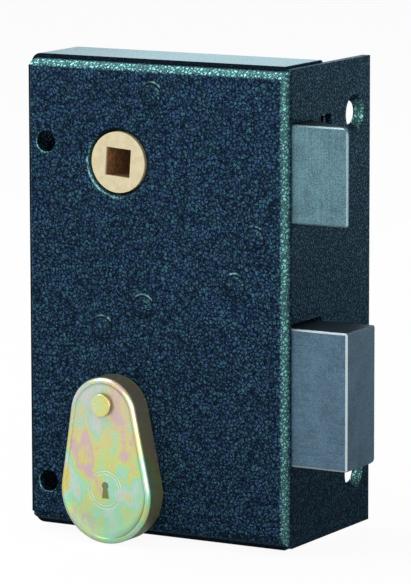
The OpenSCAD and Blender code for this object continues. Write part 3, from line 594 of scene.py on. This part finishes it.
def cover_shell(count, edge, wall, step):
    """Points and faces of the drawn cover with its rolled rim and pivot hole, open at the back."""
    front = Y_FACE - GAP - HIGH
    back = Y_FACE - GAP
    face = front + step
    rows = [
        (drop_loop(count, wall), back), (drop_loop(count, 0.08), back), (drop_loop(count, 0.0), back - 0.08),
        (drop_loop(count, 0.0), back - 2.0), (drop_loop(count, 0.0), front + edge + 1.0),
    ]
    for i in range(13):
        angle = math.pi / 2 * i / 12
        rows.append((drop_loop(count, edge * (1 - math.cos(angle))), front + edge * (1 - math.sin(angle))))
    for share, sunk in ((0.3, 0.02), (0.5, 0.12), (0.62, 0.5), (0.74, 0.88), (1.0, 1.0)):
        rows.append((drop_loop(count, edge + step * 1.3 * share), front + step * sunk))
    rim = drop_loop(count, edge + step * 1.3)
    hole = hole_loop(2.5, rim)
    for share in (0.1, 0.25, 0.45, 0.65, 0.85, 0.97, 1.0):
        loop = [tuple(p + (q - p) * share for p, q in zip(a, b)) for a, b in zip(rim, hole)]
        rows.append((loop, face))
    rows.append((hole, front + wall))
    inner = drop_loop(count, wall)
    for share in (0.6, 1.0):
        loop = [tuple(p + (q - p) * share for p, q in zip(a, b)) for a, b in zip(hole, inner)]
        rows.append((loop, front + wall))
    points = []
    for loop, y in rows:
        for across, down in loop:
            x, z = hung(across, down)
            points.append((x * MM, y * MM, z * MM))
    faces = []
    n = len(rows)
    for r in range(n):
        s = (r + 1) % n
        for i in range(count):
            j = (i + 1) % count
            faces.append((r * count + i, r * count + j, s * count + j, s * count + i))
    return points, faces


def coil(place, length, radius, wire, turns):
    """Points and faces, in metres, of a spring along X whose end turns are closed. It starts at a
    place; radius is that of the wire's middle line, and wire is half its thickness."""
    steps, sides = 24 * turns, 12
    run, closed = length - 2 * wire, 2 * wire
    points = []
    for i in range(steps + 1):
        turn = turns * i / steps
        if turn < 1:
            along = closed * turn
        elif turn > turns - 1:
            along = run - closed * (turns - turn)
        else:
            along = closed + (run - 2 * closed) * (turn - 1) / (turns - 2)
        angle = 2 * math.pi * turn
        for k in range(sides):
            round_wire = 2 * math.pi * k / sides
            out = radius + wire * math.cos(round_wire)
            points.append((
                place[0] + wire + along + wire * math.sin(round_wire),
                place[1] + out * math.cos(angle), place[2] + out * math.sin(angle),
            ))
    faces = [tuple(range(sides)), tuple(range(steps * sides, (steps + 1) * sides))]
    for i in range(steps):
        for k in range(sides):
            j = (k + 1) % sides
            a, b = i * sides, (i + 1) * sides
            faces.append((a + k, a + j, b + j, b + k))
    return points, faces


class LOCK_OT_case(bpy.types.Operator):
    """Enamel the front shell, the rear cover and the riveted ends"""

    bl_idname = "rim_lock.case"
    bl_label = "Case"

    def execute(self, context):
        lock = context.scene.rim_lock_colours
        sizes = context.scene.rim_lock_sizes
        gaps = [(0.0, 0.0, 8.9, 9.9, -0.7, -0.71)] + [(x, z, 3.1, 3.35, 0.1, 0.99) for x, z in RIVETED]
        put_on(enamel("shell_enamel", lock, sizes, gaps), "front_shell")
        put_on(enamel("post_enamel", lock, sizes, gaps[1:]), "riveted_posts")
        put_on(enamel("cover_enamel", lock, sizes, relief=0.2, shaded_edges_and_sheen=True), "rear_cover")
        return {"FINISHED"}


class LOCK_OT_hook_end(bpy.types.Operator):
    """Build the upper end of the rear cover's hook, which fills the top of its slot"""

    bl_idname = "rim_lock.hook_end"
    bl_label = "Hook's upper end"

    def execute(self, context):
        x0, x1, y0, y1, z0, z1, corner = 49.0, 55.0, -3.25, -2.05, 12.0, 14.4, 0.8
        side = [(x0, z0), (x1, z0)]
        for i in range(7):
            angle = math.pi / 2 * i / 6
            side.append((x1 - corner + corner * math.cos(angle), z1 - corner + corner * math.sin(angle)))
        side.append((x0, z1))
        count = len(side)
        points = [(x * MM, y * MM, z * MM) for y in (y0, y1) for x, z in side]
        faces = [tuple(range(count)), tuple(range(2 * count - 1, count - 1, -1))]
        faces += [(i, i + count, (i + 1) % count + count, (i + 1) % count) for i in range(count)]
        mesh_piece("hook_upper_end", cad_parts["rear_cover"].data.materials[0], "case", points, faces)
        return {"FINISHED"}


class LOCK_OT_hub(bpy.types.Operator):
    """Finish the handle hub"""

    bl_idname = "rim_lock.hub"
    bl_label = "Handle hub"

    def execute(self, context):
        put_on(cast_hub(context.scene.rim_lock_colours), "handle_hub")
        return {"FINISHED"}


class LOCK_OT_bolts(bpy.types.Operator):
    """Finish the latch bolt and the dead bolt"""

    bl_idname = "rim_lock.bolts"
    bl_label = "Bolts"

    def execute(self, context):
        lock = context.scene.rim_lock_colours
        put_on(brushed("latch_plating", tuple(lock.latch_steel), "Z", 0.42, 0.7, marks=1.6, edge_highlight=0.2, top_shade=0.8), "latch_bolt")
        put_on(brushed("bolt_steel", tuple(lock.bolt_steel), "X", 0.40, 0.5, marks=1.5, edge_highlight=0.6, top_shade=0.8), "dead_bolt")
        return {"FINISHED"}


class LOCK_OT_swing_cover(bpy.types.Operator):
    """Build the drawn swinging cover and finish it and its rivet"""

    bl_idname = "rim_lock.swing_cover"
    bl_label = "Swinging cover"

    def execute(self, context):
        lock = context.scene.rim_lock_colours
        sizes = context.scene.rim_lock_sizes
        sign = (hung(0.0, LEN - 1.0), TILT, sizes.sign_radius / MM, sizes.sign_depth / MM)
        plated = passivated("passivated_cover", lock, sign)
        points, faces = cover_shell(
            sizes.cover_steps, sizes.cover_edge / MM, sizes.cover_wall / MM, sizes.cover_step / MM
        )
        cover = mesh_piece("drawn_cover", plated, "swing_cover", points, faces)
        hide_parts("swing_cover")
        put_on(passivated("passivated_rivet", lock), "swing_rivet")
        return {"FINISHED"}


class LOCK_OT_cylinder(bpy.types.Operator):
    """Finish the key cylinder and its pins"""

    bl_idname = "rim_lock.cylinder"
    bl_label = "Key cylinder"

    def execute(self, context):
        brass = tuple(context.scene.rim_lock_colours.brass)
        put_on(turned("cylinder_brass", brass, 0.0, -93.6), "cylinder_body", "chamber_plugs")
        put_on(turned("plug_brass", tuple(c * 0.92 for c in brass), 0.0, -89.7), "cylinder_plug", "key_pins")
        return {"FINISHED"}


class LOCK_OT_gears(bpy.types.Operator):
    """Finish the gears"""

    bl_idname = "rim_lock.gears"
    bl_label = "Gears"

    def execute(self, context):
        brass = tuple(context.scene.rim_lock_colours.brass)
        put_on(turned("wheel_brass", brass, 14.2, -87.3, 0.38), "reduction_gear")
        put_on(turned("gear_brass", tuple(c * 0.85 for c in brass), 0.0, -89.7, 0.4), "plug_gear")
        return {"FINISHED"}


class LOCK_OT_steel(bpy.types.Operator):
    """Finish the tail plates, screws, rivets, springs and snap rings"""

    bl_idname = "rim_lock.steel"
    bl_label = "Steel pieces"

    def execute(self, context):
        lock = context.scene.rim_lock_colours
        plain = tuple(lock.bare_steel)
        put_on(brushed("plate_steel", plain, "X", 0.38, 0.9), "latch_tail", "bolt_tail")
        put_on(
            brushed("small_steel", plain, "Y", 0.34, 0.9), "cover_screws", "latch_rivets", "bolt_rivets",
            "spring_pin", "gear_stud", "cylinder_screws", "driver_pins", "swing_washer",
        )
        put_on(
            brushed("spring_steel", tuple(lock.spring_steel), "Z", 0.3, 0.95), "latch_spring", "pin_springs",
            "gear_clip", "plug_clip",
        )
        return {"FINISHED"}


class LOCK_OT_latch_spring(bpy.types.Operator):
    """Build the latch bolt's spring as a coil that rides with the latch"""

    bl_idname = "rim_lock.latch_spring"
    bl_label = "Latch bolt's spring"

    def execute(self, context):
        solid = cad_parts["latch_spring"]
        places = [solid.matrix_world @ v.co for v in solid.data.vertices]
        low, high = (Vector(pick(p[i] for p in places) for i in range(3)) for pick in (min, max))
        middle = (low + high) / 2
        wire = 0.45 * MM
        length = high.x - low.x
        points, faces = coil((low.x, middle.y, middle.z), length, (high.z - low.z) / 2 - wire, wire, 9)
        spring = mesh_piece("latch_coil", solid.data.materials[0], "latch", points, faces)
        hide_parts("latch_spring")
        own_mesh(spring)
        return {"FINISHED"}


class LOCK_OT_stage(bpy.types.Operator):
    """Set up the floor, the white surroundings, the lamps and the camera"""

    bl_idname = "rim_lock.stage"
    bl_label = "Studio"

    def execute(self, context):
        stage = context.scene.rim_lock_stage
        self.floor()
        self.surroundings(context.scene, stage.world)
        middle = Vector((0.005, 0.0, -0.04))
        self.lamp("key_lamp", stage.key, (0.7, 0.6), middle + Vector((-0.65, -0.62, 0.95)), middle)
        self.lamp("front_lamp", stage.front, (1.7, 0.9), middle + Vector((0.86, -1.1, 0.28)), middle)
        self.lamp("top_lamp", stage.over, (0.6, 0.6), middle + Vector((-0.45, 0.15, 1.15)), middle)
        self.camera(context.scene, stage)
        context.scene.view_settings.view_transform = "Standard"
        return {"FINISHED"}

    def floor(self):
        """A pale floor that shows white, with the lock's shadow."""
        mesh = bpy.data.meshes.new("floor")
        z = -0.1112
        mesh.from_pydata([(-6, -6, z), (6, -6, z), (6, 6, z), (-6, 6, z)], [], [(0, 1, 2, 3)])
        floor = bpy.data.objects.new("floor", mesh)
        bpy.context.scene.collection.objects.link(floor)
        finish = Finish("studio_floor")
        place = finish.axes()
        pale = finish.node("ShaderNodeBsdfDiffuse", {}, Color=(0.86, 0.86, 0.86, 1.0))
        shown, camera = self.seen(finish)
        white = finish.node(
            "ShaderNodeEmission", {}, Color=(1.0, 1.0, 1.0, 1.0),
            Strength=camera.higher(self.lit(place[0] / 400.0, place[1] / 400.0)),
        )
        finish.node(
            "ShaderNodeOutputMaterial", {}, finish.node("ShaderNodeMixShader", {}, shown * 0.94, pale, white)
        )
        mesh.materials.append(finish.material)

    @staticmethod
    def seen(finish):
        """1 for rays that show the surroundings, straight or in metal or glass, and 1 for straight ones."""
        camera, glossy, through = (
            finish.node("ShaderNodeLightPath", {}, out=ray)
            for ray in ("Is_Camera_Ray", "Is_Glossy_Ray", "Is_Transmission_Ray")
        )
        return (camera + glossy + through).lower(1.0), camera

    @staticmethod
    def lit(x, y):
        """How bright the white surroundings are that way: white at the back left and the front right."""
        back_left = (y * 0.8 - x * 0.6).step(0.4, 0.85)
        front_right = (x * 0.6 - y * 0.8).step(0.55, 0.9)
        front = (y * -0.9 - x * 0.2).step(-0.1, 0.5)
        return (0.16 + front * 0.44 + back_left * 0.84 + front_right * 0.4).lower(1.0)

    def surroundings(self, scene, strength):
        """White where the camera looks, and an even light on the lock."""
        world = bpy.data.worlds.new("studio")
        world.use_nodes = True
        world.node_tree.nodes.clear()
        finish = Finish.__new__(Finish)
        finish.material, finish.tree = world, world.node_tree
        way = finish.axes(finish.node("ShaderNodeTexCoord", {}, out="Generated"))
        shown, camera = self.seen(finish)
        white = finish.node(
            "ShaderNodeBackground", {}, Color=(1.0, 1.0, 1.0, 1.0), Strength=camera.higher(self.lit(way[0], way[1]))
        )
        light = finish.node("ShaderNodeBackground", {}, Color=(0.94, 0.98, 1.0, 1.0), Strength=strength)
        finish.node(
            "ShaderNodeOutputWorld", {}, finish.node("ShaderNodeMixShader", {}, shown, light, white)
        )
        scene.world = world

    def lamp(self, name, power, size, place, target):
        """A soft rectangular lamp that faces the lock."""
        data = bpy.data.lights.new(name, "AREA")
        data.shape = "RECTANGLE"
        data.size, data.size_y = size
        data.energy = power
        lamp = bpy.data.objects.new(name, data)
        lamp.location = place
        lamp.rotation_euler = (target - place).to_track_quat("-Z", "Y").to_euler()
        bpy.context.scene.collection.objects.link(lamp)

    def camera(self, scene, stage):
        """The camera at the photograph's angle."""
        data = bpy.data.cameras.new("camera")
        data.sensor_fit = "VERTICAL"
        data.sensor_height = 36.0
        data.lens = stage.lens
        data.clip_end = 50.0
        camera = bpy.data.objects.new("camera", data)
        turn = Matrix.Rotation(stage.turn, 4, "Z") @ Matrix.Rotation(math.pi / 2 - stage.tilt, 4, "X")
        camera.matrix_world = (
            Matrix.Translation(Vector(stage.place)) @ turn @ Matrix.Rotation(stage.roll, 4, "Z")
        )
        scene.collection.objects.link(camera)
        scene.camera = camera


OPERATORS = (
    LOCK_OT_stage, LOCK_OT_case, LOCK_OT_hook_end, LOCK_OT_hub, LOCK_OT_bolts, LOCK_OT_swing_cover, LOCK_OT_cylinder,
    LOCK_OT_gears, LOCK_OT_steel, LOCK_OT_latch_spring,
)


class LOCK_PT_panel(bpy.types.Panel):
    """Everything that dresses the rim lock"""

    bl_label = "Rim lock"
    bl_space_type = "VIEW_3D"
    bl_region_type = "UI"
    bl_category = "Rim lock"

    def draw(self, context):
        for group in ("rim_lock_colours", "rim_lock_sizes", "rim_lock_stage"):
            settings = getattr(context.scene, group)
            box = self.layout.box()
            for key in settings.__annotations__:
                box.prop(settings, key)
        for operator in OPERATORS:
            self.layout.operator(operator.bl_idname)


CLASSES = (LockColours, LockSizes, LockStage, *OPERATORS, LOCK_PT_panel)


def register():
    for made in CLASSES:
        bpy.utils.register_class(made)
    bpy.types.Scene.rim_lock_colours = PointerProperty(type=LockColours)
    bpy.types.Scene.rim_lock_sizes = PointerProperty(type=LockSizes)
    bpy.types.Scene.rim_lock_stage = PointerProperty(type=LockStage)


def unregister():
    del bpy.types.Scene.rim_lock_stage
    del bpy.types.Scene.rim_lock_sizes
    del bpy.types.Scene.rim_lock_colours
    for made in reversed(CLASSES):
        bpy.utils.unregister_class(made)


def main():
    """Registers the add-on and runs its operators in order."""
    register()
    for step in (
        "stage", "case", "hook_end", "hub", "bolts", "swing_cover", "cylinder", "gears", "steel", "latch_spring",
    ):
        getattr(bpy.ops.rim_lock, step)()


if __name__ == "__main__":
    main()
